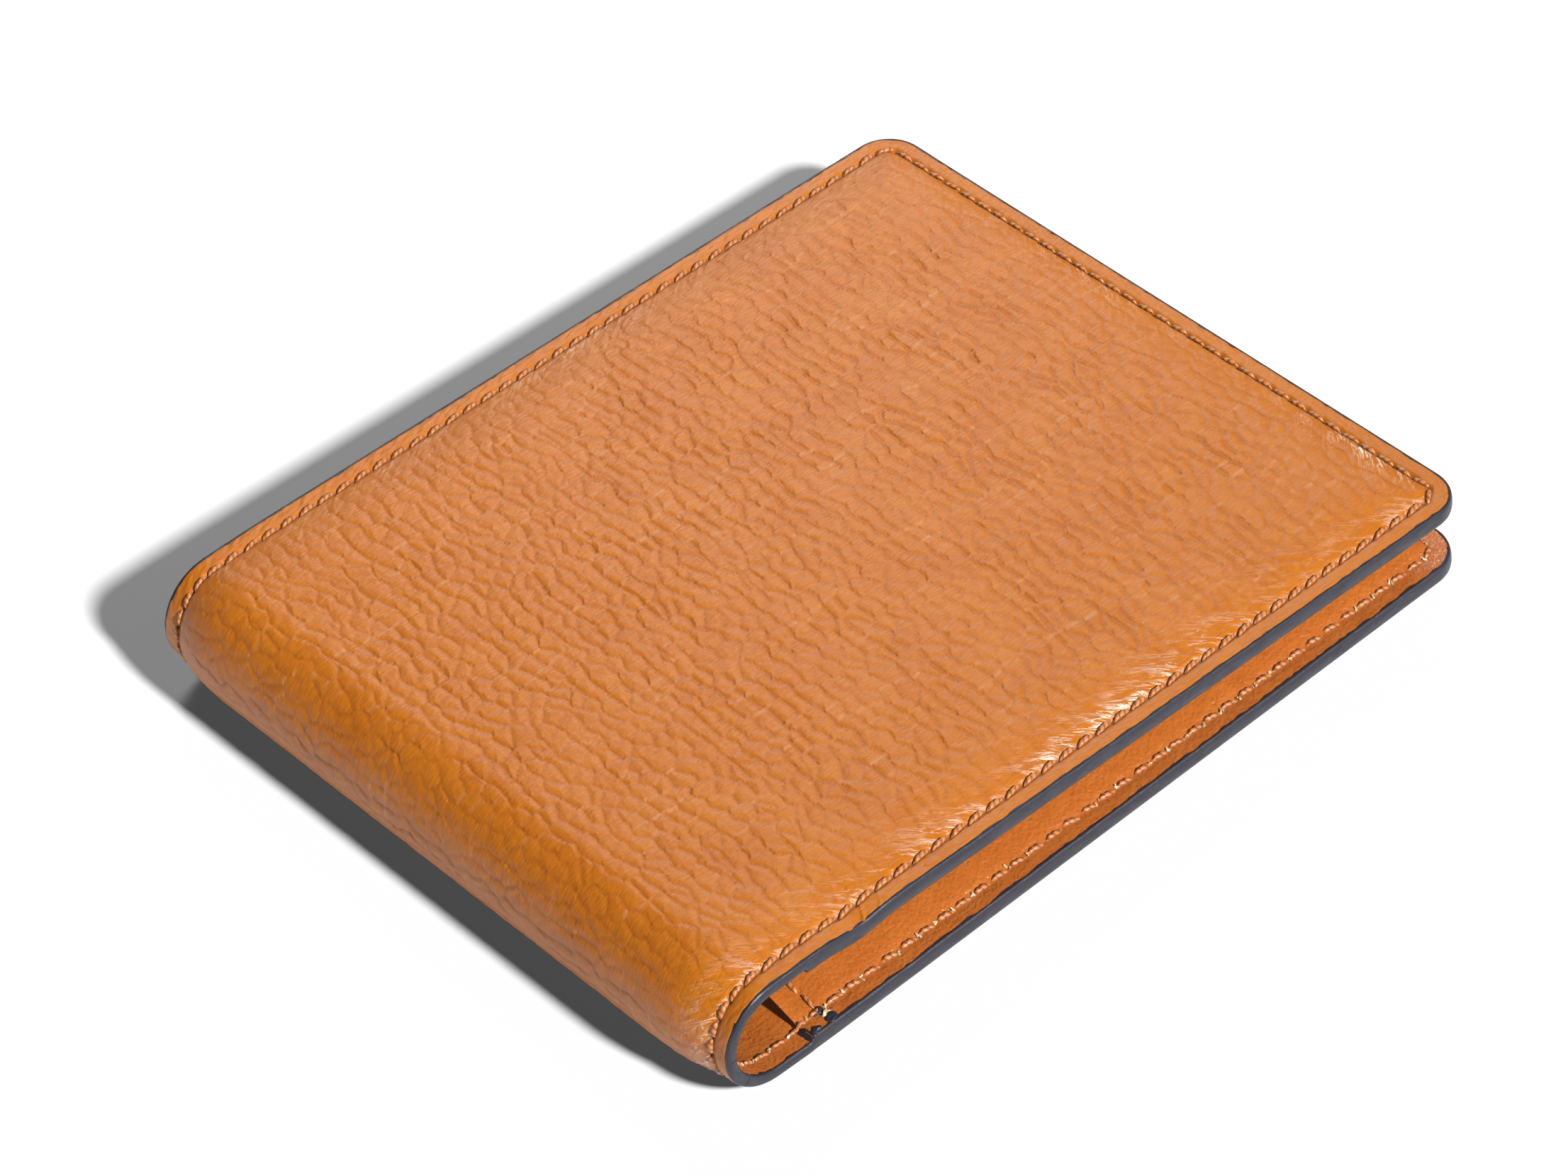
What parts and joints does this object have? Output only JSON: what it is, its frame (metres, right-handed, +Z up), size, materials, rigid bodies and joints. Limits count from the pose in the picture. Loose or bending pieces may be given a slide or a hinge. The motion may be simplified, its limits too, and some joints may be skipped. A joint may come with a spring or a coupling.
{
  "type": "bifold wallet",
  "caption": "Leather bifold wallet that folds about a soft spine, with card pockets on both leaves and a bill compartment.",
  "frame": {"origin": "on the resting surface, under the middle of the folded wallet", "axes": "+X from the spine to the open side, +Y from the sewn bottom edge to the bill mouth, +Z up from the rear leaf to the front leaf"},
  "size_m": [0.114, 0.0944, 0.016],
  "materials": {
    "grain_leather": "tan full-grain calf with a rounded pebble grain, soft sheen",
    "smooth_leather": "orange-tan smooth leather with a fine print, soft sheen",
    "lining_cloth": "fine woven lining, matt",
    "stiffener_board": "bonded leather board, raw",
    "edge_paint": "blue-grey acrylic edge paint, satin",
    "sewing_thread": "copper-brown bonded polyester thread, twisted",
    "bobbin_thread": "pale beige bobbin thread, twisted"
  },
  "bodies": {
    "rear_leaf": {"rear_cover": "grain_leather", "rear_stiffener": "stiffener_board", "rear_bill_lining": "lining_cloth", "rear_pocket_backing": "smooth_leather", "rear_card_base": "smooth_leather", "rear_upper_card_pocket": "smooth_leather", "rear_middle_card_pocket": "smooth_leather", "rear_lower_card_pocket": "smooth_leather", "rear_edge_paint": "edge_paint", "rear_needle_thread": "sewing_thread", "rear_bobbin_thread": "bobbin_thread", "rear_pocket_thread": "sewing_thread"},
    "spine_lower": {"spine_cover_1": "grain_leather", "spine_lining_1": "lining_cloth", "spine_backing_1": "smooth_leather", "spine_bottom_edge_paint_1": "edge_paint", "spine_mouth_edge_paint_1": "edge_paint"},
    "spine_middle": {"spine_cover_2": "grain_leather", "spine_lining_2": "lining_cloth", "spine_backing_2": "smooth_leather", "spine_bottom_edge_paint_2": "edge_paint", "spine_mouth_edge_paint_2": "edge_paint"},
    "spine_upper": {"spine_cover_3": "grain_leather", "spine_lining_3": "lining_cloth", "spine_backing_3": "smooth_leather", "spine_bottom_edge_paint_3": "edge_paint", "spine_mouth_edge_paint_3": "edge_paint"},
    "front_leaf": {"front_cover": "grain_leather", "front_stiffener": "stiffener_board", "front_bill_lining": "lining_cloth", "front_pocket_backing": "smooth_leather", "front_card_base": "smooth_leather", "front_upper_card_pocket": "smooth_leather", "front_middle_card_pocket": "smooth_leather", "front_lower_card_pocket": "smooth_leather", "front_edge_paint": "edge_paint", "front_needle_thread": "sewing_thread", "front_bobbin_thread": "bobbin_thread", "front_pocket_thread": "sewing_thread"}
  },
  "joints": [
    {"name": "spine_bend_1", "type": "hinge", "parent": "rear_leaf", "child": "spine_lower", "pos_m": [-0.05209, 0, 0.00062], "axis": [0, -1, 0], "range_deg": [0, 45.5]},
    {"name": "spine_bend_2", "type": "hinge", "parent": "spine_lower", "child": "spine_middle", "pos_m": [-0.05643, 0, 0.00504], "axis": [0, -1, 0], "range_deg": [0, 45.5]},
    {"name": "spine_bend_3", "type": "hinge", "parent": "spine_middle", "child": "spine_upper", "pos_m": [-0.05632, 0, 0.01122], "axis": [0, -1, 0], "range_deg": [0, 45.5]},
    {"name": "fold", "type": "hinge", "parent": "spine_upper", "child": "front_leaf", "pos_m": [-0.05183, 0, 0.01548], "axis": [0, -1, 0], "range_deg": [0, 45.5]}
  ],
  "couplings": [
    {"joint": "spine_bend_1", "follows": "fold", "ratio": 1},
    {"joint": "spine_bend_2", "follows": "fold", "ratio": 1},
    {"joint": "spine_bend_3", "follows": "fold", "ratio": 1}
  ]
}
